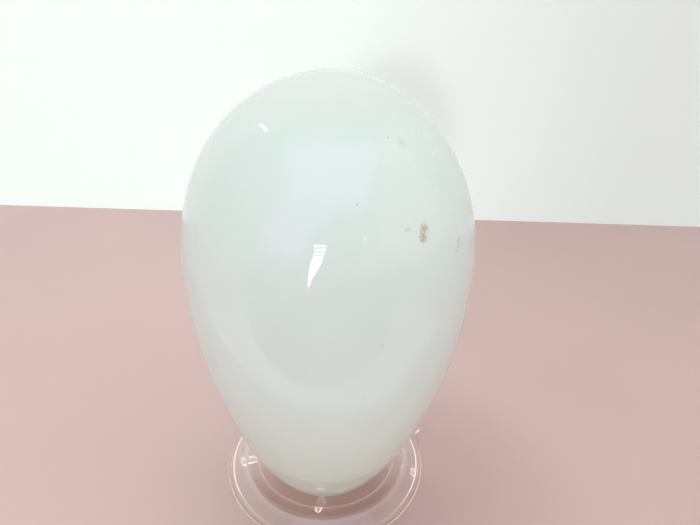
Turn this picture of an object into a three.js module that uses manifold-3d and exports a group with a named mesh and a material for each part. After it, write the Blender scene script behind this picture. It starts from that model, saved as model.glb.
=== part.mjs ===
// A hand-blown milk-glass egg resting in a clear moulded stand: a sloped collar with three prongs
// reaching in to the egg, and three bowed legs with ball feet plugged into ears on its rim.
// Millimetres, +Z up. The origin is on the table, under the egg's axis. The front leg is towards -Y.

import * as THREE from 'three';
import { mergeVertices } from 'three/addons/utils/BufferGeometryUtils.js';
import Module from 'manifold-3d';

const wasm = await Module();
wasm.setup();

// Driving dimensions of the egg
const eggWidth = 80;
const eggHeight = 138;
const eggWidestHeight = 89.5;
const eggTaper = 1.8;
const eggWall = 2.6;
const eggTipWall = 4.2;
const blowHoleRadius = 4.5;

// Driving dimensions of the collar
const rimRadius = 33;
const rimHeight = 28;
const rimBeadRadius = 1.2;
const shoulderRadius = 26.7;
const collarRise = 3.5;
const collarThickness = 1.6;
const lipRadius = 22.8;

// Driving dimensions of the prongs, which carry the egg at this radius
const prongRadius = 1.7;
const prongContactRadius = 13;
const prongContactDrop = 3.8;

// Driving dimensions of the legs and of the ears that hold them
const legCount = 3;
const legRadius = 1.65;
const legKneeRadius = 37.4;
const legKneeHeight = 19.5;
const legAnkleRadius = 38.6;
const legAnkleHeight = 11;
const footCircleRadius = 39.4;
const footBallRadius = 2.1;
const footFlatRadius = 1.1;
const knuckleRadius = 2.5;
const knuckleLength = 1.6;
const pinRadius = 1.6;
const pinLength = 3.1;
const earWall = 1.3;
const earRoof = 1.4;
const earOverlap = 0.9;

// Named clearances
const restClearance = 0.3;
const plugClearance = 0.3;

// Heights and places that follow from the driving dimensions
const collarTop = rimHeight + collarRise;
const beadCentreRadius = rimRadius - rimBeadRadius;
const socketRadius = pinRadius + plugClearance;
const earRadius = socketRadius + earWall;
const earCentreRadius = rimRadius + earRadius - earOverlap;
const earBottom = rimHeight - rimBeadRadius - plugClearance;
const socketTop = earBottom + pinLength;
const earTop = socketTop + earRoof;
const knuckleTop = earBottom - plugClearance;
const frontAzimuth = -Math.PI / 2;

// A closed geometry as a solid, and a solid as a geometry.
function solidOf(geometry) {
  const bare = geometry.clone();
  bare.deleteAttribute('normal');
  bare.deleteAttribute('uv');
  const merged = mergeVertices(bare, 1e-4);
  return new wasm.Manifold(new wasm.Mesh({
    numProp: 3,
    vertProperties: merged.attributes.position.array,
    triVerts: new Uint32Array(merged.index.array),
  }));
}

function geometryOf(solid) {
  const mesh = solid.getMesh();
  const geometry = new THREE.BufferGeometry();
  geometry.setAttribute('position', new THREE.BufferAttribute(mesh.vertProperties, 3));
  geometry.setIndex(new THREE.BufferAttribute(mesh.triVerts, 1));
  geometry.computeVertexNormals();
  return geometry;
}

function namedMesh(name, solid, material) {
  const mesh = new THREE.Mesh(geometryOf(solid), material);
  mesh.name = name;
  return mesh;
}

// A profile of (radius, height) points turned about the Z axis.
function turned(profile, segments) {
  const geometry = new THREE.LatheGeometry(profile, segments);
  geometry.rotateX(Math.PI / 2);
  return solidOf(geometry);
}

// An upright cylinder between two heights, at a distance from the Z axis along +X.
function post(radius, low, high, distance, segments) {
  const geometry = new THREE.CylinderGeometry(radius, radius, high - low, segments);
  geometry.rotateX(Math.PI / 2);
  geometry.translate(distance, 0, (low + high) / 2);
  return solidOf(geometry);
}

// A ball in the XZ plane, its poles on a vertical line.
function ball(radius, distance, height, segments) {
  const geometry = new THREE.SphereGeometry(radius, segments, segments / 2);
  geometry.rotateX(Math.PI / 2);
  geometry.translate(distance, 0, height);
  return solidOf(geometry);
}

// A round rod along a curve of the XZ plane.
function rod(radius, curve, steps, sides) {
  const section = new THREE.Shape();
  section.absarc(0, 0, radius, 0, 2 * Math.PI, false);
  const geometry = new THREE.ExtrudeGeometry(section, {
    curveSegments: sides,
    steps,
    extrudePath: curve,
  });
  return solidOf(geometry);
}

// Turns a solid from +X to one of the legs: the first is at the front.
function turnedToLeg(solid, index) {
  const angle = frontAzimuth + index * 2 * Math.PI / legCount;
  return solid.rotate([0, 0, THREE.MathUtils.radToDeg(angle)]);
}

// The egg's outline: below its widest ring a tapered quarter oval, above it a plain quarter
// ellipse. Heights are from the outer tip.
function eggPoint(radius, tip, widest, angle) {
  const power = 2 / eggTaper;
  return new THREE.Vector2(
    radius * Math.sin(angle) ** power,
    widest - (widest - tip) * Math.max(Math.cos(angle), 0) ** power,
  );
}

function eggProfile(radius, tip, widest, top, steps) {
  const points = [];
  for (let i = 0; i <= steps; i += 1) {
    points.push(eggPoint(radius, tip, widest, i / steps * Math.PI / 2));
  }
  for (let i = 1; i < steps; i += 1) {
    const angle = i / steps * Math.PI / 2;
    points.push(new THREE.Vector2(
      radius * Math.cos(angle),
      widest + (top - widest) * Math.sin(angle),
    ));
  }
  points.push(new THREE.Vector2(0, top));
  return points;
}

// Where the prongs meet the egg: the angle of the outline at the contact radius, the height of
// that point above the tip, and the direction square to the surface.
function eggContact() {
  const halfWidth = eggWidth / 2;
  const power = 2 / eggTaper;
  const angle = Math.asin((prongContactRadius / halfWidth) ** (1 / power));
  const point = eggPoint(halfWidth, 0, eggWidestHeight, angle);
  const along = new THREE.Vector2(
    halfWidth * Math.sin(angle) ** (power - 1) * Math.cos(angle),
    eggWidestHeight * Math.cos(angle) ** (power - 1) * Math.sin(angle),
  ).normalize();
  return { point, outward: new THREE.Vector2(along.y, -along.x) };
}

const contact = eggContact();
const contactHeight = rimHeight - prongContactDrop;
const eggTipHeight = contactHeight - contact.point.y;

// The egg is a blown shell, thicker at its narrow end, where the blow hole opens downwards.
function eggShell() {
  const outer = turned(eggProfile(eggWidth / 2, 0, eggWidestHeight, eggHeight, 13), 48);
  const hollow = turned(
    eggProfile(eggWidth / 2 - eggWall, eggTipWall, eggWidestHeight, eggHeight - eggWall, 9),
    32,
  );
  const hole = post(blowHoleRadius, -eggTipWall, 3 * eggTipWall, 0, 24);
  return outer.subtract(hollow).subtract(hole).translate([0, 0, eggTipHeight]);
}

// The collar's section: a flat shelf with a rounded lip, a sloping skirt and a bead at the rim.
function collarProfile() {
  const half = collarThickness / 2;
  const points = [];
  const lipCentre = new THREE.Vector2(lipRadius + half, collarTop - half);
  for (let i = 0; i <= 4; i += 1) {
    const angle = Math.PI / 2 + i / 4 * Math.PI;
    points.push(new THREE.Vector2(
      lipCentre.x + half * Math.cos(angle),
      lipCentre.y + half * Math.sin(angle),
    ));
  }
  const bead = new THREE.Vector2(beadCentreRadius, rimHeight);
  const shoulder = new THREE.Vector2(shoulderRadius, collarTop - half);
  const slope = bead.clone().sub(shoulder);
  const inwards = Math.atan2(-slope.y, -slope.x);
  const tilt = Math.PI - inwards;
  const mitre = half * Math.tan(tilt / 2);
  points.push(new THREE.Vector2(shoulderRadius - mitre, collarTop - collarThickness));
  const meet = Math.asin(half / rimBeadRadius);
  const sweep = 2 * Math.PI - 2 * meet;
  for (let i = 0; i <= 9; i += 1) {
    const angle = inwards + meet + i / 9 * sweep;
    points.push(new THREE.Vector2(
      bead.x + rimBeadRadius * Math.cos(angle),
      bead.y + rimBeadRadius * Math.sin(angle),
    ));
  }
  points.push(new THREE.Vector2(shoulderRadius + mitre, collarTop));
  points.push(points[0].clone());
  return points;
}

// A prong runs from inside the shelf's lip down and inwards to a round end under the egg.
function prong() {
  const reach = prongRadius + restClearance;
  const end = new THREE.Vector3(
    contact.point.x + contact.outward.x * reach,
    0,
    contactHeight + contact.outward.y * reach,
  );
  const root = new THREE.Vector3(
    lipRadius + collarThickness / 2,
    0,
    collarTop - collarThickness / 2,
  );
  const bar = rod(prongRadius, new THREE.LineCurve3(end, root), 1, 6);
  const over = post(3 * prongRadius, collarTop, collarTop + 3 * prongRadius, root.x, 8);
  return bar
    .add(ball(prongRadius, end.x, end.z, 12))
    .add(ball(prongRadius, root.x, root.z, 12))
    .subtract(over);
}

function collar() {
  let solid = turned(collarProfile(), 72);
  for (let i = 0; i < legCount; i += 1) {
    solid = solid.add(turnedToLeg(prong(), i));
    const ear = post(earRadius, earBottom, earTop, earCentreRadius, 20);
    const socket = post(socketRadius, earBottom - earRoof, socketTop, earCentreRadius, 16);
    solid = solid.add(turnedToLeg(ear, i)).subtract(turnedToLeg(socket, i));
  }
  return solid;
}

// A leg: a pin that plugs into the ear, a knuckle under it, a bowed stem and a ball foot with a
// small flat to stand on.
function leg(index) {
  const footCentre = Math.sqrt(footBallRadius ** 2 - footFlatRadius ** 2);
  const knuckleBottom = knuckleTop - knuckleLength;
  const stem = new THREE.CatmullRomCurve3([
    new THREE.Vector3(earCentreRadius, 0, knuckleBottom + knuckleLength / 2),
    new THREE.Vector3(legKneeRadius, 0, legKneeHeight),
    new THREE.Vector3(legAnkleRadius, 0, legAnkleHeight),
    new THREE.Vector3(footCircleRadius, 0, footCentre),
  ]);
  const pin = post(pinRadius, knuckleBottom, socketTop - plugClearance, earCentreRadius, 16);
  const knuckle = post(knuckleRadius, knuckleBottom, knuckleTop, earCentreRadius, 16);
  const below = post(3 * footBallRadius, -3 * footBallRadius, 0, footCircleRadius, 8);
  const solid = rod(legRadius, stem, 10, 6)
    .add(pin)
    .add(knuckle)
    .add(ball(footBallRadius, footCircleRadius, footCentre, 16))
    .subtract(below);
  return turnedToLeg(solid, index);
}

function milkGlass() {
  return new THREE.MeshStandardMaterial({ color: 0xdfe9e6, roughness: 0.08, metalness: 0 });
}

function clearPlastic() {
  return new THREE.MeshStandardMaterial({
    color: 0xe8ecec,
    roughness: 0.06,
    metalness: 0,
    transparent: true,
    opacity: 0.3,
  });
}

const legNames = ['leg_front', 'leg_back_right', 'leg_back_left'];

const part = new THREE.Group();
part.add(namedMesh('egg_shell', eggShell(), milkGlass()));
part.add(namedMesh('collar', collar(), clearPlastic()));
legNames.forEach((name, index) => {
  part.add(namedMesh(name, leg(index), clearPlastic()));
});

export default part;
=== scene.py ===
"""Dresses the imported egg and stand: opal glass, clear moulded collar and legs, table and light."""

import math

import bmesh
import bpy
from bpy.props import FloatProperty, FloatVectorProperty, IntProperty, PointerProperty
from mathutils import Matrix, Vector, noise


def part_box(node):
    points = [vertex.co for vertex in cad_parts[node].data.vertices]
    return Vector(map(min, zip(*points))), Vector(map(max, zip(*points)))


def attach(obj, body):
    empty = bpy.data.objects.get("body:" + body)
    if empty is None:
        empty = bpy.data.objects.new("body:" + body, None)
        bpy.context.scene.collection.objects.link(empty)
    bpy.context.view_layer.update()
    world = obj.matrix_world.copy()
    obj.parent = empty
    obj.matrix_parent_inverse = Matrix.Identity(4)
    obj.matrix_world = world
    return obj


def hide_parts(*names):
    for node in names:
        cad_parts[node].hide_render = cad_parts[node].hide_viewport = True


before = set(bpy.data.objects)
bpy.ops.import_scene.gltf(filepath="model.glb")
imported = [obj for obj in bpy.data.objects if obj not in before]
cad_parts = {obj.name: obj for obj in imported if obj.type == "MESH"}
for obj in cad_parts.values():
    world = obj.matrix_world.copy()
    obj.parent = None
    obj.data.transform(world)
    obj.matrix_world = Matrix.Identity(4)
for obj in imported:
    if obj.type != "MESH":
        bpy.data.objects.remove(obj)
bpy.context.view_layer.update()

bl_info = {
    "name": "Opal egg on a clear stand",
    "version": (1, 0, 0),
    "blender": (4, 5, 0),
    "location": "3D View > Sidebar > Egg",
    "description": "Builds a blown opal egg, its clear collar with prongs and its three legs",
    "category": "Object",
}

EGG_LOW, EGG_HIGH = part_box("egg_shell")
MM = 0.001
LEG_NODES = ("leg_front", "leg_back_right", "leg_back_left")
LEG_TURNS = (-90.0, 30.0, 150.0)
# The legs' fixed places, in mm: the ear and the ball foot from the axis, the ball's centre up
EAR_OUT = 35.3
FOOT_OUT = 39.4
FOOT_UP = 1.79
FOOT_RADIUS = 2.1
# The ear and its socket, in mm: radii, middle heights and the height of both
EAR_RADIUS = 3.2
SOCKET_RADIUS = 1.9
EAR_UP = 28.75
SOCKET_UP = 27.35
EAR_TALL = 4.5
# Where the prongs carry the egg, from the axis, and how far they stay off it, in mm
PRONG_CONTACT = 13.0
REST_CLEARANCE = 0.3
# The room and the glass's own marks are laid out as seen from the right of the front leg
VIEW_DEGREES = 2.5
VIEW_TURN = Matrix.Rotation(math.radians(VIEW_DEGREES), 4, "Z")


# Small modelling helpers


def ready():
    """Leaves edit mode and clears the selection."""
    if bpy.context.mode != "OBJECT":
        bpy.ops.object.mode_set(mode="OBJECT")
    bpy.ops.object.select_all(action="DESELECT")


def edit(piece):
    """Enters edit mode on one piece alone."""
    ready()
    piece.select_set(True)
    bpy.context.view_layer.objects.active = piece
    bpy.ops.object.mode_set(mode="EDIT")


def apply_modifiers(piece):
    """Applies every modifier of a piece in order."""
    ready()
    piece.select_set(True)
    bpy.context.view_layer.objects.active = piece
    for modifier in list(piece.modifiers):
        bpy.ops.object.modifier_apply(modifier=modifier.name)


def settle(piece, angle=40.0):
    """Puts a finished piece's place into its mesh and shades it smooth."""
    ready()
    piece.select_set(True)
    bpy.context.view_layer.objects.active = piece
    bpy.ops.object.transform_apply(location=True, rotation=True, scale=True)
    bpy.ops.object.shade_smooth_by_angle(angle=math.radians(angle))
    ready()


def draw_line(name, points):
    """Draws a chain of edges through points, extruded one point at a time."""
    ready()
    bpy.ops.mesh.primitive_plane_add(size=MM, location=(0, 0, 0))
    piece = bpy.context.active_object
    piece.name = name
    piece.data.name = name
    edit(piece)
    bpy.ops.mesh.merge(type="CENTER")
    bpy.ops.transform.translate(value=points[0])
    for before, after in zip(points, points[1:]):
        bpy.ops.mesh.extrude_vertices_move(
            TRANSFORM_OT_translate={"value": Vector(after) - Vector(before)}
        )
    return piece


def spin_line(piece, steps):
    """Turns the drawn line about the Z axis into a closed skin."""
    bpy.ops.mesh.select_all(action="SELECT")
    bpy.ops.mesh.spin(steps=steps, angle=math.tau, center=(0, 0, 0), axis=(0, 0, 1))
    bpy.ops.mesh.select_all(action="SELECT")
    bpy.ops.mesh.remove_doubles(threshold=0.002 * MM)
    bpy.ops.mesh.normals_make_consistent(inside=False)
    ready()
    return piece


def arc(centre_x, centre_z, radius, start, end, steps):
    """Points of a circular arc in the XZ plane, angles in degrees."""
    points = []
    for i in range(steps + 1):
        angle = math.radians(start + (end - start) * i / steps)
        x = centre_x + radius * math.cos(angle)
        z = centre_z + radius * math.sin(angle)
        points.append(Vector((x, 0, z)))
    return points


# Node helpers


def new_material(name):
    """An empty material, its node tree and its output node."""
    material = bpy.data.materials.new(name)
    material.use_nodes = True
    tree = material.node_tree
    tree.nodes.clear()
    output = tree.nodes.new("ShaderNodeOutputMaterial")
    return material, tree, output


def node(tree, kind, **values):
    """Adds a node; keywords set its properties."""
    made = tree.nodes.new(kind)
    for key, value in values.items():
        setattr(made, key, value)
    return made


def new_group(name, inputs, outputs):
    """An empty shader group with named sockets and its two end nodes."""
    group = bpy.data.node_groups.new(name, "ShaderNodeTree")
    for label, kind, default in inputs:
        socket = group.interface.new_socket(label, in_out="INPUT", socket_type=kind)
        if default is not None:
            socket.default_value = default
    for label, kind in outputs:
        group.interface.new_socket(label, in_out="OUTPUT", socket_type=kind)
    start = group.nodes.new("NodeGroupInput")
    end = group.nodes.new("NodeGroupOutput")
    return group, start, end


def place_group(tree, group, **values):
    """Adds a node group; keywords set its inputs, with _ for a space."""
    made = tree.nodes.new("ShaderNodeGroup")
    made.node_tree = group
    for key, value in values.items():
        made.inputs[key.replace("_", " ")].default_value = value
    return made


def math_node(tree, operation, first, second):
    """Works on two values, each a number or a socket."""
    made = node(tree, "ShaderNodeMath", operation=operation)
    for socket, value in zip(made.inputs, (first, second)):
        if isinstance(value, (int, float)):
            socket.default_value = value
        else:
            tree.links.new(value, socket)
    return made.outputs[0]


def times(tree, first, second):
    """One value multiplied by another."""
    return math_node(tree, "MULTIPLY", first, second)


def shade(colour, factors):
    """A colour with each channel multiplied by its factor."""
    return tuple(channel * factor for channel, factor in zip(colour, factors))


def mix_colour(tree, factor, first, second, blend="MIX"):
    """Mixes two colours; every input is a value or a socket."""
    made = node(tree, "ShaderNodeMix", data_type="RGBA", blend_type=blend)
    sockets = (made.inputs[0], made.inputs[6], made.inputs[7])
    for socket, value in zip(sockets, (factor, first, second)):
        if isinstance(value, (int, float)):
            socket.default_value = value
        elif isinstance(value, (tuple, list)):
            socket.default_value = (*value, 1.0)
        else:
            tree.links.new(value, socket)
    return made.outputs[2]


def object_place(tree):
    """Where a point lies in its own piece."""
    return node(tree, "ShaderNodeTexCoord").outputs["Object"]


def split(tree, vector):
    """The X, Y and Z of a vector."""
    made = node(tree, "ShaderNodeSeparateXYZ")
    tree.links.new(vector, made.inputs[0])
    return made.outputs


def length_of(tree, vector):
    """How long a vector is."""
    made = node(tree, "ShaderNodeVectorMath", operation="LENGTH")
    tree.links.new(vector, made.inputs[0])
    return made.outputs["Value"]


def noise_node(tree, vector, scale, detail=2.0, rough=0.5):
    """Noise from 0 to 1 at a scale per metre."""
    made = node(tree, "ShaderNodeTexNoise")
    made.inputs["Scale"].default_value = scale
    made.inputs["Detail"].default_value = detail
    made.inputs["Roughness"].default_value = rough
    tree.links.new(vector, made.inputs["Vector"])
    return made.outputs["Fac"]


def ramp(tree, value, low, high, out_low=0.0, out_high=1.0):
    """Goes softly from one value to another while the input passes from low to high."""
    made = node(tree, "ShaderNodeMapRange", interpolation_type="SMOOTHSTEP")
    made.inputs["From Min"].default_value = low
    made.inputs["From Max"].default_value = high
    made.inputs["To Min"].default_value = out_low
    made.inputs["To Max"].default_value = out_high
    tree.links.new(value, made.inputs["Value"])
    return made.outputs[0]


def band(tree, value, low, high, soft):
    """1 between two values and 0 beyond them, with soft ends."""
    rise = ramp(tree, value, low - soft, low + soft)
    fall = ramp(tree, value, high - soft, high + soft, 1.0, 0.0)
    return times(tree, rise, fall)


# Effects shared by materials


def fleck_group():
    """A soft-edged ragged spot round a place: 1 inside, 0 outside."""
    group, start, end = new_group(
        "Fleck",
        (
            ("Vector", "NodeSocketVector", None),
            ("Place", "NodeSocketVector", None),
            ("Radius", "NodeSocketFloat", 1.0 * MM),
            ("Raggedness", "NodeSocketFloat", 0.4),
        ),
        (("Mask", "NodeSocketFloat"),),
    )
    distance = node(group, "ShaderNodeVectorMath", operation="DISTANCE")
    group.links.new(start.outputs["Vector"], distance.inputs[0])
    group.links.new(start.outputs["Place"], distance.inputs[1])
    share = math_node(group, "DIVIDE", distance.outputs["Value"], start.outputs["Radius"])
    rough = noise_node(group, start.outputs["Vector"], 1800.0, 3.0, 0.7)
    centred = math_node(group, "SUBTRACT", rough, 0.5)
    shift = times(group, times(group, centred, start.outputs["Raggedness"]), 3.0)
    edge = math_node(group, "ADD", share, shift)
    mask = ramp(group, edge, 0.25, 1.0, 1.0, 0.0)
    group.links.new(mask, end.inputs["Mask"])
    return group


def handling_group():
    """Hair scratches and finger haze of a shiny surface that has been handled."""
    group, start, end = new_group(
        "Handling marks",
        (
            ("Vector", "NodeSocketVector", None),
            ("Clean Roughness", "NodeSocketFloat", 0.03),
            ("Haze", "NodeSocketFloat", 0.05),
            ("Scratch Scale", "NodeSocketFloat", 90.0),
        ),
        (("Roughness", "NodeSocketFloat"), ("Height", "NodeSocketFloat")),
    )
    vector = start.outputs["Vector"]
    haze = ramp(group, noise_node(group, vector, 45.0, 4.0, 0.6), 0.45, 0.75)
    haze = times(group, haze, start.outputs["Haze"])
    rough = math_node(group, "ADD", haze, start.outputs["Clean Roughness"])
    stretch = node(group, "ShaderNodeMapping")
    stretch.inputs["Rotation"].default_value = (0.5, 0.9, 0.3)
    stretch.inputs["Scale"].default_value = (1.0, 14.0, 1.0)
    group.links.new(vector, stretch.inputs["Vector"])
    voronoi = node(group, "ShaderNodeTexVoronoi", feature="DISTANCE_TO_EDGE")
    group.links.new(stretch.outputs[0], voronoi.inputs["Vector"])
    group.links.new(start.outputs["Scratch Scale"], voronoi.inputs["Scale"])
    scratch = ramp(group, voronoi.outputs["Distance"], 0.0, 0.01, 1.0, 0.0)
    gate = ramp(group, noise_node(group, vector, 120.0, 1.0), 0.55, 0.65)
    scratch = times(group, times(group, scratch, gate), -1.0)
    group.links.new(rough, end.inputs["Roughness"])
    group.links.new(scratch, end.inputs["Height"])
    return group


# Flaws of the glass: place in mm, radius in mm, raggedness, colour, strength
FLECKS = (
    ((22.1, -29.3, 127.1), 1.25, 1.2, (0.36, 0.34, 0.19), 0.70),
    ((21.8, -29.9, 126.1), 1.00, 1.3, (0.38, 0.35, 0.20), 0.55),
    ((21.9, -30.3, 125.2), 1.25, 1.2, (0.35, 0.32, 0.16), 0.75),
    ((22.2, -29.9, 126.1), 2.10, 0.8, (0.60, 0.61, 0.48), 0.30),
    ((16.5, -21.2, 143.3), 1.60, 0.6, (0.50, 0.56, 0.52), 0.33),
    ((13.6, -21.8, 144.4), 0.35, 0.2, (0.30, 0.33, 0.32), 0.55),
    ((7.4, -32.9, 133.2), 0.38, 0.2, (0.30, 0.36, 0.36), 0.55),
    ((18.1, -31.6, 127.5), 0.75, 0.9, (0.48, 0.52, 0.52), 0.45),
    ((17.2, -31.8, 128.3), 0.45, 0.6, (0.50, 0.54, 0.54), 0.35),
    ((31.2, -22.8, 121.5), 0.95, 0.7, (0.46, 0.53, 0.52), 0.50),
    ((31.1, -23.3, 120.5), 0.85, 0.7, (0.46, 0.53, 0.52), 0.50),
    ((30.7, -24.1, 119.6), 0.70, 0.7, (0.46, 0.53, 0.52), 0.38),
    ((-28.9, -23.5, 123.2), 0.60, 0.5, (0.52, 0.56, 0.53), 0.35),
    ((-28.9, -24.2, 121.6), 0.60, 0.5, (0.52, 0.56, 0.53), 0.38),
    ((-28.7, -25.0, 120.2), 0.50, 0.5, (0.52, 0.56, 0.53), 0.30),
    ((14.0, -37.6, 102.2), 0.45, 0.5, (0.42, 0.45, 0.44), 0.35),
    ((10.6, -37.1, 86.8), 0.50, 0.5, (0.50, 0.46, 0.42), 0.35),
)

# The gritty patch at the right: its middle and how far it spreads, in metres
GRIT_PLACE = (0.030, -0.006, 0.137)
GRIT_REACH = 0.030
# How the colour changes with height, darker and yellower towards the bottom, a little darker high up
# and warmer at the very top: where each change begins and is full, in metres, and the tint
TINTS = (
    (0.100, 0.015, (0.850, 0.850, 0.755)),
    (0.100, 0.150, (0.985, 0.985, 0.985)),
    (0.143, 0.153, (0.985, 0.940, 0.920)),
)


def opal_glass(look, fleck, handling):
    """Milky blown glass: cloudy body, darker and yellower towards the bottom, inclusions, gritty
    patch, glossy skin.
    """
    material, tree, output = new_material("opal_glass")
    place = object_place(tree)
    colour = tuple(look.glass_colour)
    cloud = ramp(tree, noise_node(tree, place, 28.0, 3.0, 0.55), 0.3, 0.7)
    body = mix_colour(tree, cloud, colour, shade(colour, (0.965, 0.965, 0.965)))
    up = split(tree, place)["Z"]
    for begin, full, tint in TINTS:
        ends = (begin, full, 0.0, 1.0) if begin < full else (full, begin, 1.0, 0.0)
        share = ramp(tree, up, *ends)
        body = mix_colour(tree, share, body, shade(colour, tint))
    grit_spot = place_group(tree, fleck, Place=GRIT_PLACE, Radius=GRIT_REACH, Raggedness=0.15)
    tree.links.new(place, grit_spot.inputs["Vector"])
    voronoi = node(tree, "ShaderNodeTexVoronoi", feature="F1")
    voronoi.inputs["Scale"].default_value = 1100.0
    tree.links.new(place, voronoi.inputs["Vector"])
    grain = ramp(tree, voronoi.outputs["Distance"], 0.15, 0.45, 1.0, 0.0)
    gate = ramp(tree, noise_node(tree, place, 380.0, 2.0), 0.5, 0.62)
    grain = times(tree, times(tree, grain, gate), grit_spot.outputs[0])
    body = mix_colour(tree, times(tree, grain, 0.4), body, (0.93, 0.94, 0.93))
    for spot, radius, ragged, stain, strength in FLECKS:
        middle = VIEW_TURN @ Vector(spot) * MM
        mark = place_group(tree, fleck, Place=middle, Radius=radius * MM, Raggedness=ragged)
        tree.links.new(place, mark.inputs["Vector"])
        body = mix_colour(tree, times(tree, mark.outputs[0], strength), body, stain)
    marks = place_group(tree, handling, Clean_Roughness=0.012, Haze=0.03, Scratch_Scale=60.0)
    tree.links.new(place, marks.inputs["Vector"])
    rough = math_node(tree, "ADD", marks.outputs["Roughness"], times(tree, grain, 0.25))
    height = math_node(tree, "ADD", marks.outputs["Height"], times(tree, grain, 1.2))
    bump = node(tree, "ShaderNodeBump")
    bump.inputs["Strength"].default_value = 0.07
    bump.inputs["Distance"].default_value = 0.02 * MM
    tree.links.new(height, bump.inputs["Height"])
    skin = node(tree, "ShaderNodeBsdfPrincipled")
    skin.inputs["IOR"].default_value = 1.5
    skin.inputs["Subsurface Weight"].default_value = 0.6
    skin.inputs["Subsurface Radius"].default_value = (1.0, 0.9, 0.8)
    skin.inputs["Subsurface Scale"].default_value = look.glass_depth
    tree.links.new(body, skin.inputs["Base Color"])
    tree.links.new(rough, skin.inputs["Roughness"])
    tree.links.new(bump.outputs[0], skin.inputs["Normal"])
    tree.links.new(skin.outputs[0], output.inputs["Surface"])
    return material


# Where the plastic's painted shade and painted highlight lie, in metres from the axis, and how soft
# their ends are
SHADED_SHELF = (0.0228, 0.0265)
SHOULDER_HIGHLIGHT = (0.0265, 0.0277)
SOFT_END = 0.0004
# The height where the painted highlight on the ball feet's rims fades out, in metres
FOOT_RIM_HIGHLIGHT_TOP = (0.0040, 0.0048)
# Light that has been mirrored inside the plastic more often than this counts as trapped and gets a
# painted glow in place of the light it would carry
TRAPPED_DEPTH = 3.5


def clear_plastic(look, handling):
    """Clear moulded plastic: lamps shine through to the table, and light trapped inside is given a
    painted glow.

    The front of the shelf has painted shade, warm and dark, the shoulder a faint painted highlight
    and the rims of the ball feet a painted bright edge.
    """
    material, tree, output = new_material("moulded_clear")
    place = object_place(tree)
    marks = place_group(tree, handling, Clean_Roughness=0.02, Haze=0.05, Scratch_Scale=160.0)
    tree.links.new(place, marks.inputs["Vector"])
    bump = node(tree, "ShaderNodeBump")
    bump.inputs["Strength"].default_value = 0.15
    bump.inputs["Distance"].default_value = 0.02 * MM
    ripple = noise_node(tree, place, 170.0, 2.0)
    height = math_node(tree, "ADD", marks.outputs["Height"], times(tree, ripple, 4.0))
    tree.links.new(height, bump.inputs["Height"])
    flat = node(tree, "ShaderNodeVectorMath", operation="MULTIPLY")
    flat.inputs[1].default_value = (1.0, 1.0, 0.0)
    tree.links.new(place, flat.inputs[0])
    out = length_of(tree, flat.outputs[0])
    spot = split(tree, place)
    # painted shade: the front of the shelf is darkened and warmed where the egg's shadow on the
    # table shows through it
    front = ramp(tree, spot["Y"], -0.022, -0.008, 1.0, 0.0)
    shelf = times(tree, band(tree, out, *SHADED_SHELF, SOFT_END), front)
    tint = mix_colour(tree, shelf, tuple(look.plastic_colour), (0.82, 0.71, 0.68))
    clear = node(tree, "ShaderNodeBsdfPrincipled")
    tree.links.new(tint, clear.inputs["Base Color"])
    clear.inputs["IOR"].default_value = 1.49
    clear.inputs["Transmission Weight"].default_value = 1.0
    tree.links.new(marks.outputs["Roughness"], clear.inputs["Roughness"])
    tree.links.new(bump.outputs[0], clear.inputs["Normal"])
    through = node(tree, "ShaderNodeBsdfTransparent")
    through.inputs["Color"].default_value = (0.90, 0.85, 0.82, 1.0)
    path = node(tree, "ShaderNodeLightPath")
    # painted light: light trapped inside the plastic is given a warm glow instead of going dark
    trapped_for_painted_glow = math_node(tree, "GREATER_THAN", path.outputs["Glossy Depth"], TRAPPED_DEPTH)
    # painted highlight: the shoulder glows faintly
    shoulder = band(tree, out, *SHOULDER_HIGHLIGHT, SOFT_END)
    glow = mix_colour(tree, shoulder, (0.0, 0.0, 0.0), (0.040, 0.040, 0.040))
    glow = mix_colour(tree, trapped_for_painted_glow, glow, (0.56, 0.46, 0.43))
    # painted highlight: the rims of the ball feet glow bright near their outline
    edge = node(tree, "ShaderNodeLayerWeight")
    foot = ramp(tree, spot["Z"], *FOOT_RIM_HIGHLIGHT_TOP, 1.0, 0.0)
    ring = times(tree, ramp(tree, edge.outputs["Facing"], 0.10, 0.28), foot)
    glow = mix_colour(tree, ring, glow, (0.20, 0.19, 0.19))
    tree.links.new(glow, clear.inputs["Emission Color"])
    clear.inputs["Emission Strength"].default_value = 1.0
    mix = node(tree, "ShaderNodeMixShader")
    tree.links.new(path.outputs["Is Shadow Ray"], mix.inputs[0])
    tree.links.new(clear.outputs[0], mix.inputs[1])
    tree.links.new(through.outputs[0], mix.inputs[2])
    tree.links.new(mix.outputs[0], output.inputs["Surface"])
    return material


# Sizes and colours a user would change


def length(name, description, default):
    """A length a user can set, with its default in mm."""
    return FloatProperty(
        name=name, description=description, default=default * MM,
        subtype="DISTANCE", unit="LENGTH",
    )


class EggSizes(bpy.types.PropertyGroup):
    width: length("Width", "Width of the egg at its widest ring", (EGG_HIGH.x - EGG_LOW.x) / MM)
    tip: length("Tip height", "Height of the narrow end above the table", 17.417)
    height: length("Height", "Length of the egg from tip to top", 138.0)
    widest: length("Widest ring", "Height of the widest ring above the tip", 89.5)
    wall: length("Wall", "Thickness of the blown shell", 2.6)
    tip_wall: length("Tip wall", "Thickness of the shell at the narrow end", 4.2)
    hole: length("Blow hole", "Radius of the hole at the narrow end", 4.5)
    taper: FloatProperty(
        name="Taper", description="Fullness of the lower half: 2 is a plain ellipse",
        default=1.8, min=1.0, max=3.0,
    )
    turns: IntProperty(
        name="Steps round", description="Faces round the egg", default=240, min=16,
    )


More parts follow.
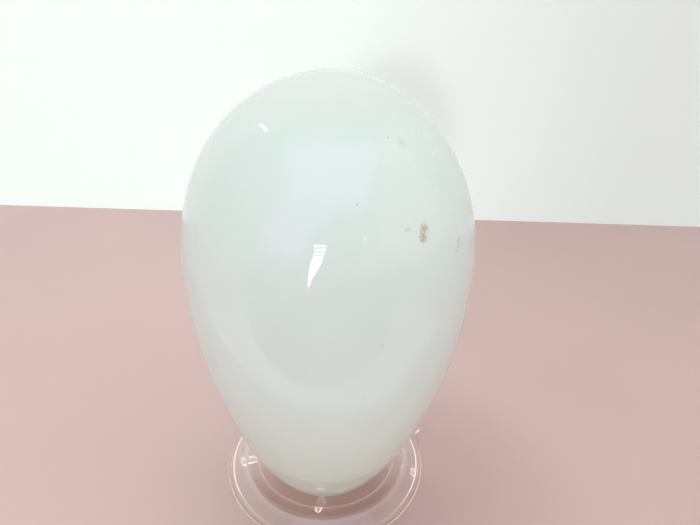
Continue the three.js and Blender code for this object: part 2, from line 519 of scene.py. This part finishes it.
class StandSizes(bpy.types.PropertyGroup):
    rim_radius: length("Rim radius", "Outer radius of the collar's bead", 33.0)
    rim_height: length("Rim height", "Height of the bead's centre above the table", 28.0)
    bead: length("Bead radius", "Radius of the bead's round section", 1.2)
    shoulder: length("Shoulder radius", "Radius where the skirt meets the shelf", 26.7)
    rise: length("Rise", "Height of the shelf above the bead's centre", 3.5)
    thickness: length("Wall", "Thickness of the collar's wall", 1.6)
    lip: length("Lip radius", "Inner radius of the shelf", 22.8)
    prong: length("Prong radius", "Radius of the three prongs", 1.7)
    leg: length("Leg radius", "Radius of a leg's stem", 1.65)


class LookColours(bpy.types.PropertyGroup):
    glass_colour: FloatVectorProperty(
        name="Glass", description="Colour of the opal glass", subtype="COLOR",
        default=(0.703, 0.804, 0.788), min=0.0, max=1.0,
    )
    glass_depth: length("Milkiness depth", "How far light spreads inside the glass", 2.5)
    plastic_colour: FloatVectorProperty(
        name="Plastic", description="Tint of the clear plastic", subtype="COLOR",
        default=(0.965, 0.955, 0.945), min=0.0, max=1.0,
    )
    table_colour: FloatVectorProperty(
        name="Table", description="Colour of the table top", subtype="COLOR",
        default=(0.655, 0.482, 0.467), min=0.0, max=1.0,
    )


def shared_materials():
    """The materials, built once on first use."""
    look = bpy.context.scene.egg_look
    groups = bpy.data.node_groups
    fleck = groups.get("Fleck") or fleck_group()
    handling = groups.get("Handling marks") or handling_group()
    glass = bpy.data.materials.get("opal_glass") or opal_glass(look, fleck, handling)
    plastic = bpy.data.materials.get("moulded_clear") or clear_plastic(look, handling)
    return glass, plastic


# The egg


def egg_outline(sizes, inset, tip_inset, steps):
    """Outline points from the tip's axis to the top's axis, of the egg's skin or its hollow."""
    half = sizes.width / 2 - inset
    power = 2.0 / sizes.taper
    low = sizes.tip + tip_inset
    ring = sizes.tip + sizes.widest
    top = sizes.tip + sizes.height - inset
    points = []
    for i in range(steps + 1):
        angle = math.pi / 2 * i / steps
        radius = half * math.sin(angle) ** power
        height = ring - (ring - low) * max(math.cos(angle), 0.0) ** power
        points.append(Vector((radius, 0, height)))
    for i in range(1, steps + 1):
        angle = math.pi / 2 * i / steps
        height = ring + (top - ring) * math.sin(angle)
        points.append(Vector((half * math.cos(angle), 0, height)))
    points[-1].x = 0.0
    return points


def at_radius(points, radius):
    """The point where a rising outline passes a radius, and the rest of the outline above it."""
    for i in range(1, len(points)):
        if points[i].x > radius:
            share = (radius - points[i - 1].x) / (points[i].x - points[i - 1].x)
            return points[i - 1].lerp(points[i], share), points[i:]
    raise ValueError("the outline never reaches that radius")


# Where the blown shape departs from a true oval: a place on the egg, how far the glass stands out
# there along its normal, and how wide the bulge or hollow spreads, in mm
BULGES = (
    ((30, 8, 138), -0.25, 20),
    ((12, 10, 152), -0.10, 16),
    ((-14, 10, 151), -0.45, 16),
    ((-31, 6, 136), 0.40, 20),
    ((-40, 2, 108), -0.35, 22),
    ((40, 2, 108), -0.30, 22),
    ((-37, 0, 76), 0.25, 20),
    ((38, 0, 78), 0.35, 20),
    ((-29, -4, 54), -0.50, 16),
    ((30, -4, 55), -0.45, 16),
)
# How far the glass above the collar leans to the right, and how high its faint waves are, in mm
LEAN = 0.55
WAVE = 0.10
# From this height up the shape departs from the oval, fully so after as much again, in metres
TRUE_BELOW = 0.030


def bulge(piece):
    """Gives the egg the slight lopsidedness of hand-blown glass."""
    middle = EGG_HIGH.z * 0.62
    lean = VIEW_TURN @ Vector((LEAN * MM, 0.0, 0.0))
    for vertex in piece.data.vertices:
        outward = Vector((vertex.co.x, vertex.co.y, 0.55 * (vertex.co.z - middle)))
        if outward.length < 1e-6:
            continue
        outward.normalize()
        move = 0.0
        for spot, amount, reach in BULGES:
            share = (vertex.co - VIEW_TURN @ Vector(spot) * MM).length / (reach * MM)
            if share < 2.5:
                move += amount * MM * math.exp(-share * share)
        wave = noise.noise(vertex.co * 28.0) * WAVE * MM
        fade = min(1.0, max(0.0, (vertex.co.z - TRUE_BELOW) / TRUE_BELOW))
        vertex.co += (outward * (move + wave) + lean) * fade


class EGG_OT_shell(bpy.types.Operator):
    """Blows the egg: a drawn outline of skin, blow hole and hollow, spun about the axis"""

    bl_idname = "egg.shell"
    bl_label = "Egg shell"

    def execute(self, context):
        sizes = context.scene.egg_sizes
        skin = egg_outline(sizes, 0.0, 0.0, 48)
        hollow = egg_outline(sizes, sizes.wall, sizes.tip_wall, 32)
        lip = 0.9 * MM
        outer_edge, skin = at_radius(skin, sizes.hole + lip)
        inner_edge, hollow = at_radius(hollow, sizes.hole + lip)
        outline = list(reversed(skin)) + [outer_edge]
        outline += arc(outer_edge.x, outer_edge.z + lip, lip, -90, -180, 6)[1:]
        outline += arc(inner_edge.x, inner_edge.z - lip, lip, 180, 90, 6)
        outline += hollow
        piece = spin_line(draw_line("egg_glass", outline), sizes.turns)
        bulge(piece)
        glass, _ = shared_materials()
        piece.data.materials.append(glass)
        settle(piece, 60.0)
        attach(piece, "egg")
        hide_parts("egg_shell")
        return {"FINISHED"}


# The collar


def collar_outline(sizes):
    """The collar's section: rounded lip, flat shelf, soft shoulder, skirt and round bead."""
    half = sizes.thickness / 2
    top = sizes.rim_height + sizes.rise
    middle = top - half
    bead = Vector((sizes.rim_radius - sizes.bead, 0, sizes.rim_height))
    shoulder = Vector((sizes.shoulder, 0, middle))
    slope = bead - shoulder
    fall = math.degrees(math.atan2(-slope.z, slope.x))
    meet = math.degrees(math.asin(half / sizes.bead))
    points = arc(sizes.lip + half, middle, half, 270, 90, 12)
    soft = 1.4 * MM
    over = shoulder + Vector((0, 0, half - soft))
    reach = (soft - half) * math.tan(math.radians(fall / 2))
    points += arc(over.x - reach, over.z, soft, 90, 90 - fall, 6)
    turn = -fall
    points += arc(bead.x, bead.z, sizes.bead, 180 + turn - meet, 180 + turn + meet - 360, 22)
    inner = (half + soft) * math.tan(math.radians(fall / 2))
    points += arc(shoulder.x - inner, shoulder.z - half - soft, soft, 90 - fall, 90, 6)
    points.append(points[0].copy())
    return points


def round_bar(name, points, radii, sides=24):
    """A round bar along points, a circle extruded step by step, with closed ends."""
    ready()
    start = points[0]
    bpy.ops.mesh.primitive_circle_add(
        vertices=sides, radius=radii[0], fill_type="NGON", location=start
    )
    piece = bpy.context.active_object
    piece.name = name
    piece.data.name = name
    tangents = []
    for i in range(len(points)):
        ahead = points[min(i + 1, len(points) - 1)] - points[max(i - 1, 0)]
        tangents.append(ahead.normalized())
    edit(piece)
    bpy.ops.mesh.select_all(action="SELECT")
    mesh = bmesh.from_edit_mesh(piece.data)
    turn = Vector((0, 0, 1)).rotation_difference(tangents[0]).to_matrix()
    bmesh.ops.rotate(mesh, verts=mesh.verts[:], cent=(0, 0, 0), matrix=turn)
    bmesh.update_edit_mesh(piece.data)
    for i in range(1, len(points)):
        bpy.ops.mesh.extrude_region_move(
            TRANSFORM_OT_translate={"value": points[i] - points[i - 1]}
        )
        mesh = bmesh.from_edit_mesh(piece.data)
        ring = [v for v in mesh.verts if v.select]
        centre = sum((v.co for v in ring), Vector()) / len(ring)
        turn = tangents[i - 1].rotation_difference(tangents[i]).to_matrix()
        bmesh.ops.rotate(mesh, verts=ring, cent=centre, matrix=turn)
        factor = radii[i] / radii[i - 1]
        for v in ring:
            v.co = centre + (v.co - centre) * factor
        bmesh.update_edit_mesh(piece.data)
    bpy.ops.mesh.select_all(action="SELECT")
    bpy.ops.mesh.normals_make_consistent(inside=False)
    ready()
    return piece


def round_nose(points, radii, radius, steps=8):
    """Lengthens a bar with a half-round nose beyond its last point."""
    along = (points[-1] - points[-2]).normalized()
    end = points[-1]
    for i in range(1, steps + 1):
        angle = math.pi / 2 * i / steps
        points.append(end + along * radius * math.sin(angle))
        radii.append(max(radius * math.cos(angle), 0.02 * radius))
    return points, radii


def turn_about_axis(piece, degrees):
    """Turns a piece about the egg's axis and puts the turn into its mesh."""
    ready()
    bpy.context.view_layer.update()
    piece.select_set(True)
    bpy.context.view_layer.objects.active = piece
    piece.matrix_world = Matrix.Rotation(math.radians(degrees), 4, "Z") @ piece.matrix_world
    bpy.ops.object.transform_apply(location=True, rotation=True, scale=True)
    ready()


def copied(piece, name):
    """A copy of a piece with a mesh of its own."""
    other = piece.copy()
    other.data = piece.data.copy()
    other.name = name
    other.data.name = name
    bpy.context.scene.collection.objects.link(other)
    return other


def unite(piece, tools):
    """Joins overlapping solids into one skin."""
    for tool in tools:
        modifier = piece.modifiers.new("union", "BOOLEAN")
        modifier.operation = "UNION"
        modifier.solver = "EXACT"
        modifier.object = tool
    apply_modifiers(piece)
    for tool in tools:
        bpy.data.objects.remove(tool)


def cut(piece, tool):
    """Takes one solid away from a piece."""
    modifier = piece.modifiers.new("cut", "BOOLEAN")
    modifier.operation = "DIFFERENCE"
    modifier.solver = "EXACT"
    modifier.object = tool
    apply_modifiers(piece)
    bpy.data.objects.remove(tool)


def prong_end(sizes, egg):
    """Centre of a prong's round end, just off the egg's skin."""
    half = egg.width / 2
    power = 2.0 / egg.taper
    contact = PRONG_CONTACT * MM
    angle = math.asin((contact / half) ** (1.0 / power))
    height = egg.widest - egg.widest * math.cos(angle) ** power
    along = Vector((
        half * math.sin(angle) ** (power - 1) * math.cos(angle), 0,
        egg.widest * math.cos(angle) ** (power - 1) * math.sin(angle),
    )).normalized()
    outward = Vector((along.z, 0, -along.x))
    return Vector((contact, 0, egg.tip + height)) + outward * (sizes.prong + REST_CLEARANCE * MM)


# Centre line of a leg from its knuckle to the ball foot, and the outline of its pin and knuckle
# about their own axis: distance out and height, in mm
LEG_LINE = ((EAR_OUT, 25.6), (37.4, 19.5), (38.6, 11.0), (FOOT_OUT, FOOT_UP))
PIN_OUTLINE = (
    (0, 29.3), (1.3, 29.3), (1.6, 29.0), (1.6, 26.2), (2.2, 26.2), (2.5, 25.9), (2.5, 25.1),
    (2.1, 24.6), (0, 24.2),
)


def in_plane(pairs):
    """Points of the XZ plane from pairs of distance and height in mm."""
    return [Vector((out, 0, up)) * MM for out, up in pairs]


def smooth_path(points, steps):
    """A smooth curve through points, as a uniform Catmull-Rom spline."""
    path = []
    padded = [points[0] * 2 - points[1]] + points + [points[-1] * 2 - points[-2]]
    for i in range(1, len(padded) - 2):
        a, b, c, d = padded[i - 1:i + 3]
        for s in range(steps):
            t = s / steps
            path.append(0.5 * (
                2 * b + (c - a) * t + (2 * a - 5 * b + 4 * c - d) * t * t
                + (3 * b - a - 3 * c + d) * t * t * t
            ))
    path.append(points[-1].copy())
    return path


class EGG_OT_collar(bpy.types.Operator):
    """Moulds the clear collar with its prongs and the ears that take the legs"""

    bl_idname = "egg.collar"
    bl_label = "Collar"

    def execute(self, context):
        sizes = context.scene.stand_sizes
        egg = context.scene.egg_sizes
        piece = spin_line(draw_line("collar_clear", collar_outline(sizes)), 180)
        end = prong_end(sizes, egg)
        root_height = sizes.rim_height + sizes.rise - sizes.thickness / 2
        root = Vector((sizes.lip + sizes.thickness * 0.8, 0, root_height))
        bend = end.lerp(root, 0.5) + Vector((0.25, 0, -0.35)) * MM
        path = smooth_path([root, bend, end], 6)
        radii = [sizes.prong * (0.78 + 0.22 * i / (len(path) - 1)) for i in range(len(path))]
        radii = [min(r, sizes.thickness / 2 * (1 + i * 0.4)) for i, r in enumerate(radii)]
        path, radii = round_nose(path, radii, sizes.prong)
        prong = round_bar("prong", path, radii)
        unite(piece, self.three(prong) + self.three(self.ear()))
        for turn in LEG_TURNS:
            tool = self.socket()
            turn_about_axis(tool, turn)
            cut(piece, tool)
        _, plastic = shared_materials()
        piece.data.materials.clear()
        piece.data.materials.append(plastic)
        settle(piece, 35.0)
        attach(piece, "stand")
        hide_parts("collar")
        return {"FINISHED"}

    def three(self, model):
        """Copies of a model turned to each leg, in place of the model."""
        tools = []
        for turn in LEG_TURNS:
            tool = copied(model, "collar_tool")
            turn_about_axis(tool, turn)
            tools.append(tool)
        bpy.data.objects.remove(model)
        return tools

    def ear(self):
        """A short post with rounded ends that takes a leg's pin."""
        ready()
        bpy.ops.mesh.primitive_cylinder_add(
            vertices=48, radius=EAR_RADIUS * MM, depth=EAR_TALL * MM,
            location=(EAR_OUT * MM, 0, EAR_UP * MM),
        )
        piece = bpy.context.active_object
        edit(piece)
        bpy.ops.mesh.select_all(action="DESELECT")
        bpy.ops.mesh.select_mode(type="EDGE")
        mesh = bmesh.from_edit_mesh(piece.data)
        for edge in mesh.edges:
            edge.select = abs(edge.verts[0].co.z - edge.verts[1].co.z) < 1e-6
        bmesh.update_edit_mesh(piece.data)
        bpy.ops.mesh.bevel(offset=0.6 * MM, segments=4)
        ready()
        return piece

    def socket(self):
        """The hole in an ear, open at its lower end."""
        ready()
        bpy.ops.mesh.primitive_cylinder_add(
            vertices=40, radius=SOCKET_RADIUS * MM, depth=EAR_TALL * MM,
            location=(EAR_OUT * MM, 0, SOCKET_UP * MM),
        )
        return bpy.context.active_object


class EGG_OT_legs(bpy.types.Operator):
    """Draws one bowed leg with its pin, knuckle and ball foot, and copies it round"""

    bl_idname = "egg.legs"
    bl_label = "Legs"

    def execute(self, context):
        sizes = context.scene.stand_sizes
        model = self.leg(sizes)
        _, plastic = shared_materials()
        for name, turn in zip(LEG_NODES, LEG_TURNS):
            piece = copied(model, name + "_clear")
            turn_about_axis(piece, turn)
            piece.data.materials.clear()
            piece.data.materials.append(plastic)
            settle(piece, 35.0)
            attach(piece, "stand")
            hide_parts(name)
        bpy.data.objects.remove(model)
        return {"FINISHED"}

    def leg(self, sizes):
        """One leg along +X: a slightly waisted stem, pin and knuckle, ball foot with a flat."""
        path = smooth_path(in_plane(LEG_LINE), 10)
        last = len(path) - 1
        waist = [1.0 - 0.12 * math.sin(math.pi * i / last) for i in range(len(path))]
        stem = round_bar("leg_model", path, [sizes.leg * share for share in waist], 32)
        pin = spin_line(draw_line("pin", in_plane(PIN_OUTLINE)), 40)
        pin.location = (EAR_OUT * MM, 0, 0)
        ready()
        bpy.ops.mesh.primitive_uv_sphere_add(
            segments=48, ring_count=32, radius=FOOT_RADIUS * MM,
            location=(FOOT_OUT * MM, 0, FOOT_UP * MM),
        )
        foot = bpy.context.active_object
        unite(stem, [pin, foot])
        edit(stem)
        bpy.ops.mesh.select_all(action="SELECT")
        bpy.ops.mesh.bisect(
            plane_co=(0, 0, 0), plane_no=(0, 0, 1), use_fill=True, clear_inner=True, threshold=1e-7
        )
        ready()
        return stem


# The table, the light and the camera


def emitter(name, colour, strength):
    """A plainly glowing material."""
    material, tree, output = new_material(name)
    glow = node(tree, "ShaderNodeEmission")
    glow.inputs["Color"].default_value = (*colour, 1.0)
    glow.inputs["Strength"].default_value = strength
    tree.links.new(glow.outputs[0], output.inputs["Surface"])
    return material


def facing(azimuth, elevation):
    """A direction seen from the egg: azimuth from the front towards the right, in degrees."""
    a, e = math.radians(azimuth), math.radians(elevation)
    return Vector((math.sin(a) * math.cos(e), -math.cos(a) * math.cos(e), math.sin(e)))


def glowing(name, points, colour, strength, lights=False):
    """A glowing flat piece with the given corners. Unless it lights, only reflections show it."""
    ready()
    bpy.ops.mesh.primitive_circle_add(vertices=len(points), radius=1.0, fill_type="NGON")
    piece = bpy.context.active_object
    piece.name = name
    edit(piece)
    mesh = bmesh.from_edit_mesh(piece.data)
    face = mesh.faces[:][0]
    for vertex, point in zip([loop.vert for loop in face.loops], points):
        vertex.co = VIEW_TURN @ point
    bmesh.update_edit_mesh(piece.data)
    ready()
    piece.data.materials.append(emitter(name, colour, strength))
    piece.visible_camera = False
    piece.visible_shadow = False
    piece.visible_diffuse = lights
    piece.visible_transmission = lights
    return piece


def card(name, seen_from, distance, corners, colour, strength, lights=False):
    """A glowing card whose corners are directions seen from a place on the egg, in mm."""
    points = [Vector(seen_from) * MM + facing(*corner) * distance for corner in corners]
    return glowing(name, points, colour, strength, lights)


# Where the wall's foot stands behind the egg, its width, height and left end, in metres
WALL_BACK = 0.30
WALL_WIDE = 3.65
WALL_TALL = 0.9
WALL_LEFT = -0.65
# The photo's camera: lens in mm, place in metres, tilt and roll in degrees
LENS = 27.05
CAMERA_PLACE = (0.0063, -0.1335, 0.1702)
CAMERA_TILT = 63.5
CAMERA_ROLL = 1.8
# Painted shadows on the table, the egg's brown contact shadow under the stand and its soft shadow to
# the right: centre, squeeze front to back, inner and outer radius, and tint
PAINTED_TABLE_SHADOWS = (
    ((0.0, 0.014), 1.5, 0.015, 0.033, (0.79, 0.71, 0.63)),
    ((0.038, 0.020), 1.0, 0.015, 0.075, (0.89, 0.84, 0.86)),
)
# From where on the egg the window is seen, in mm, and how far off it and the lamps are, in metres
WINDOW_SEEN_FROM = (-1, -38, 122)
WINDOW_AWAY = 0.6
LAMPS_AWAY = 0.8
# Lamps that only mirrors see: from where on the egg, in mm, corners in degrees, colour, strength
LAMPS = (
    ("left_lamp", (-13, -20, 145),
     ((-116.8, 42.0), (-116.4, 44.7), (-103.3, 50.4), (-102.7, 48.5)), (1.0, 1.0, 0.97), 5.0),
    ("left_lamp_low", (-16, -18, 145),
     ((-123.5, 34.4), (-119.1, 40.9), (-115.0, 41.9), (-120.1, 35.4)), (1.0, 1.0, 0.97), 1.8),
    ("left_lamp_trail", (-11, -20, 147),
     ((-115.6, 47.9), (-116.2, 56.2), (-109.3, 58.1), (-108.5, 49.8)), (1.0, 1.0, 0.97), 1.4),
    ("bulb_left", (9, -35, 127),
     ((28.0, 16.8), (30.2, 16.2), (29.6, 15.0), (27.4, 15.5)), (1.0, 1.0, 1.0), 8.0),
    ("bulb_right", (12, -35, 126),
     ((39.5, 13.1), (41.4, 12.6), (41.0, 11.5), (39.1, 12.1)), (1.0, 0.9, 0.75), 8.0),
    ("screen", (12, -36, 122),
     ((29.1, 9.6), (49.6, 6.5), (47.5, -4.0), (29.0, -1.2)), (0.85, 0.75, 0.95), 1.0),
)
# The window's slats: how many, elevation of the lowest and step up, in degrees
SLATS = 3
SLAT_LOW = 8.3
SLAT_STEP = 2.1


class EGG_OT_stage(bpy.types.Operator):
    """Lays the table, hangs the soft lights and sets the camera"""

    bl_idname = "egg.stage"
    bl_label = "Table, light and camera"

    def execute(self, context):
        self.table(context.scene.egg_look)
        self.wall()
        self.world()
        self.lights()
        self.reflections()
        self.camera()
        context.scene.view_settings.view_transform = "Standard"
        return {"FINISHED"}

    def table(self, look):
        """The table top, with painted shade darker towards the right and painted shadows under the
        stand and to its right.
        """
        ready()
        bpy.ops.mesh.primitive_plane_add(size=1.0)
        table = bpy.context.active_object
        table.name = "table_top"
        table.scale = (6.0, 4.0, 1.0)
        table.location = (0, WALL_BACK - 2.0, 0)
        turn_about_axis(table, VIEW_DEGREES)
        material, tree, output = new_material("table_top")
        place = object_place(tree)
        cloud = ramp(tree, noise_node(tree, place, 9.0, 3.0), 0.3, 0.7)
        plain = tuple(look.table_colour)
        colour = mix_colour(tree, cloud, plain, shade(plain, (0.97, 0.97, 0.97)))
        # painted shade: the table darkens towards the right, away from the window light
        painted_side_light = ramp(tree, split(tree, place)["X"], -0.12, 0.16)
        colour = mix_colour(tree, painted_side_light, colour, (0.905, 0.90, 0.88), "MULTIPLY")
        # painted shadows: the egg's brown contact shadow under the stand and its soft shadow to the
        # right
        for centre, squeeze, inner, outer, tint in PAINTED_TABLE_SHADOWS:
            shift = node(tree, "ShaderNodeMapping", vector_type="TEXTURE")
            shift.inputs["Location"].default_value = (*centre, 0.0)
            shift.inputs["Scale"].default_value = (1.0, 1.0 / squeeze, 1.0)
            tree.links.new(place, shift.inputs["Vector"])
            away = length_of(tree, shift.outputs[0])
            near = ramp(tree, away, inner, outer, 1.0, 0.0)
            colour = mix_colour(tree, near, colour, tint, "MULTIPLY")
        top = node(tree, "ShaderNodeBsdfPrincipled")
        top.inputs["Roughness"].default_value = 0.6
        top.inputs["Specular IOR Level"].default_value = 0.25
        tree.links.new(colour, top.inputs["Base Color"])
        tree.links.new(top.outputs[0], output.inputs["Surface"])
        table.data.materials.append(material)

    def wall(self):
        """A pale wall behind the table, with a faint painted glow, stronger at the left, that stands
        in for the room's light on it.
        """
        ready()
        bpy.ops.mesh.primitive_plane_add(size=1.0, rotation=(math.pi / 2, 0, 0))
        wall = bpy.context.active_object
        wall.name = "wall"
        wall.scale = (WALL_WIDE, WALL_TALL, 1.0)
        wall.location = (WALL_WIDE / 2 + WALL_LEFT, WALL_BACK, WALL_TALL / 2)
        turn_about_axis(wall, VIEW_DEGREES)
        material, tree, output = new_material("wall")
        painted_side_light = ramp(tree, split(tree, object_place(tree))["X"], -0.04, 0.24)
        paint = node(tree, "ShaderNodeBsdfPrincipled")
        paint.inputs["Base Color"].default_value = (0.82, 0.88, 0.845, 1.0)
        paint.inputs["Roughness"].default_value = 0.9
        paint.inputs["Specular IOR Level"].default_value = 0.0
        # painted light: the wall's glow, stronger at the left, stands in for the room's light
        # falling on it
        glow = mix_colour(tree, painted_side_light, (0.245, 0.31, 0.32), (0.088, 0.112, 0.138))
        tree.links.new(glow, paint.inputs["Emission Color"])
        paint.inputs["Emission Strength"].default_value = 1.0
        tree.links.new(paint.outputs[0], output.inputs["Surface"])
        wall.data.materials.append(material)

    def world(self):
        """A soft bright ceiling with pale sides.

        The camera sees a plain backdrop. Shiny pieces mirror a cooler room in front and a warm
        wall at the right, and clear pieces show a bright one.
        """
        world = bpy.data.worlds.new("pale_room")
        bpy.context.scene.world = world
        world.use_nodes = True
        tree = world.node_tree
        tree.nodes.clear()
        output = node(tree, "ShaderNodeOutputWorld")
        room = node(tree, "ShaderNodeBackground")
        backdrop = node(tree, "ShaderNodeBackground")
        backdrop.inputs["Color"].default_value = (0.90, 0.96, 0.93, 1.0)
        backdrop.inputs["Strength"].default_value = 1.0
        turn = node(tree, "ShaderNodeVectorRotate", rotation_type="Z_AXIS")
        turn.inputs["Angle"].default_value = -math.radians(VIEW_DEGREES)
        tree.links.new(node(tree, "ShaderNodeTexCoord").outputs["Generated"], turn.inputs["Vector"])
        way = split(tree, turn.outputs[0])
        rise = math_node(tree, "MAXIMUM", way["Z"], 0.0)
        overhead = math_node(tree, "POWER", rise, 3.0)
        soft = mix_colour(tree, overhead, (0.30, 0.30, 0.30), (1.95, 1.96, 1.90))
        beside = ramp(tree, way["X"], 0.40, 0.95)
        soft = mix_colour(tree, beside, soft, (0.72, 0.70, 0.68), "ADD")
        left = ramp(tree, way["X"], -0.95, -0.35, 1.0, 0.0)
        soft = mix_colour(tree, left, soft, (0.34, 0.33, 0.31), "ADD")
        back = ramp(tree, way["Y"], 0.26, 0.31)
        mirrored = mix_colour(tree, back, (0.38, 0.64, 0.58), (0.84, 0.90, 0.87))
        right = ramp(tree, way["X"], 0.57, 0.63)
        mirrored = mix_colour(tree, right, mirrored, (1.15, 1.08, 0.92))
        path = node(tree, "ShaderNodeLightPath")
        seen = mix_colour(tree, path.outputs["Is Glossy Ray"], soft, mirrored)
        seen = mix_colour(tree, path.outputs["Is Transmission Ray"], seen, (0.98, 0.93, 0.90))
        tree.links.new(seen, room.inputs["Color"])
        mix = node(tree, "ShaderNodeMixShader")
        tree.links.new(path.outputs["Is Camera Ray"], mix.inputs[0])
        tree.links.new(room.outputs[0], mix.inputs[1])
        tree.links.new(backdrop.outputs[0], mix.inputs[2])
        tree.links.new(mix.outputs[0], output.inputs["Surface"])

    def lights(self):
        """The low window, a bright wedge with slats and cyan gaps at its top, and its soft sun."""
        card(
            "window_low", WINDOW_SEEN_FROM, WINDOW_AWAY,
            (
                (-8.8, 7.4), (-1.9, 7.7), (-3.9, 2.9), (-8.2, -3.1),
                (-12.7, -11.4), (-12.5, -6.4), (-11.4, 4.1),
            ),
            (1.0, 1.0, 1.0), 12.0, lights=True,
        )
        for i in range(SLATS):
            low = SLAT_LOW + i * SLAT_STEP
            right = i * 0.7
            card(
                f"window_slat_{i}", WINDOW_SEEN_FROM, WINDOW_AWAY,
                (
                    (-8.9, low), (-1.5 + right, low + 0.4),
                    (-1.2 + right, low + 1.6), (-8.9, low + 1.2),
                ),
                (0.95, 1.0, 1.0), 11.0, lights=True,
            )
        card(
            "window_gaps", WINDOW_SEEN_FROM, WINDOW_AWAY + 0.01,
            ((-8.9, 7.0), (-1.8, 7.4), (0.4, 13.8), (-8.9, 13.4)), (0.05, 0.55, 1.0), 5.0,
        )
        key = card(
            "window_sun", (0, 0, 115), 2.0,
            ((-9.2, 3.2), (-5.2, 3.2), (-5.2, 7.6), (-9.2, 7.6)),
            (1.0, 0.98, 0.95), 95.0, lights=True,
        )
        key.visible_glossy = False
        key.visible_transmission = False

    def reflections(self):
        """What only mirrors see: a pale sheet, lamps, bulbs, a screen and the table's near edge."""
        violet = (1.42, 1.20, 2.2)
        sheet = card(
            "pale_sheet", (-1, -32, 134), 1.2,
            ((-64.3, 57.5), (5.4, 73.3), (79.6, 55.9), (49.2, 44.5), (31.5, 30.5), (13.1, 35.3),
             (-7.5, 23.9), (-18.0, 2.9), (-44.7, 3.5), (-50.8, 21.1), (-35.9, 33.7)),
            violet, 1.0,
        )
        tree = sheet.active_material.node_tree
        high = ramp(tree, split(tree, object_place(tree))["Z"], 0.70, 1.15)
        tint = mix_colour(tree, high, violet, (1.25, 1.32, 1.80))
        tree.links.new(tint, tree.nodes["Emission"].inputs["Color"])
        for name, seen_from, corners, colour, strength in LAMPS:
            card(name, seen_from, LAMPS_AWAY, corners, colour, strength)
        # Places just above the table, in mm: its near edge, and the far edge of the pale strip
        up = 0.3
        edge = (
            (-248, -185), (-124, -104), (-70, -102), (-31, -107), (3, -108), (41, -108), (82, -111),
            (132, -135), (266, -219),
        )
        fold = (
            (202, -3), (109, -44), (63, -62), (5, -88), (-39, -82), (-78, -69), (-132, -39),
            (-197, 19),
        )
        strip = [Vector((x, y, up)) * MM for x, y in edge + fold]
        glowing("table_strip", strip, (0.95, 0.97, 1.1), 1.0)
        beyond = ((3000, -1500), (3000, -3500), (-3000, -3500), (-3000, -1500))
        dark = [Vector((x, y, up)) * MM for x, y in edge + beyond]
        glowing("dark_beyond", dark, (0.30, 0.35, 0.38), 1.0)

    def camera(self):
        """The photo's camera, turned with the room."""
        camera = bpy.data.cameras.new("camera")
        camera.lens = LENS
        camera.sensor_width = 36.0
        camera.sensor_fit = "HORIZONTAL"
        camera.clip_start = 0.01
        seat = bpy.data.objects.new("camera", camera)
        bpy.context.scene.collection.objects.link(seat)
        place = Matrix.Translation(CAMERA_PLACE)
        tilt = Matrix.Rotation(math.radians(CAMERA_TILT), 4, "X")
        roll = Matrix.Rotation(math.radians(CAMERA_ROLL), 4, "Z")
        seat.matrix_world = VIEW_TURN @ place @ tilt @ roll
        bpy.context.scene.camera = seat


class EGG_PT_panel(bpy.types.Panel):
    bl_idname = "EGG_PT_panel"
    bl_label = "Opal egg"
    bl_space_type = "VIEW_3D"
    bl_region_type = "UI"
    bl_category = "Egg"

    def draw(self, context):
        for group in (context.scene.egg_sizes, context.scene.stand_sizes, context.scene.egg_look):
            box = self.layout.box()
            for label in group.__annotations__:
                box.prop(group, label)
        for step in STEPS:
            self.layout.operator(step)


CLASSES = (
    EggSizes, StandSizes, LookColours,
    EGG_OT_shell, EGG_OT_collar, EGG_OT_legs, EGG_OT_stage, EGG_PT_panel,
)
STEPS = ("egg.shell", "egg.collar", "egg.legs", "egg.stage")


def register():
    for kind in CLASSES:
        bpy.utils.register_class(kind)
    bpy.types.Scene.egg_sizes = PointerProperty(type=EggSizes)
    bpy.types.Scene.stand_sizes = PointerProperty(type=StandSizes)
    bpy.types.Scene.egg_look = PointerProperty(type=LookColours)


def unregister():
    del bpy.types.Scene.egg_look
    del bpy.types.Scene.stand_sizes
    del bpy.types.Scene.egg_sizes
    for kind in reversed(CLASSES):
        bpy.utils.unregister_class(kind)


def main():
    register()
    bpy.ops.egg.shell()
    bpy.ops.egg.collar()
    bpy.ops.egg.legs()
    bpy.ops.egg.stage()


if __name__ == "__main__":
    main()
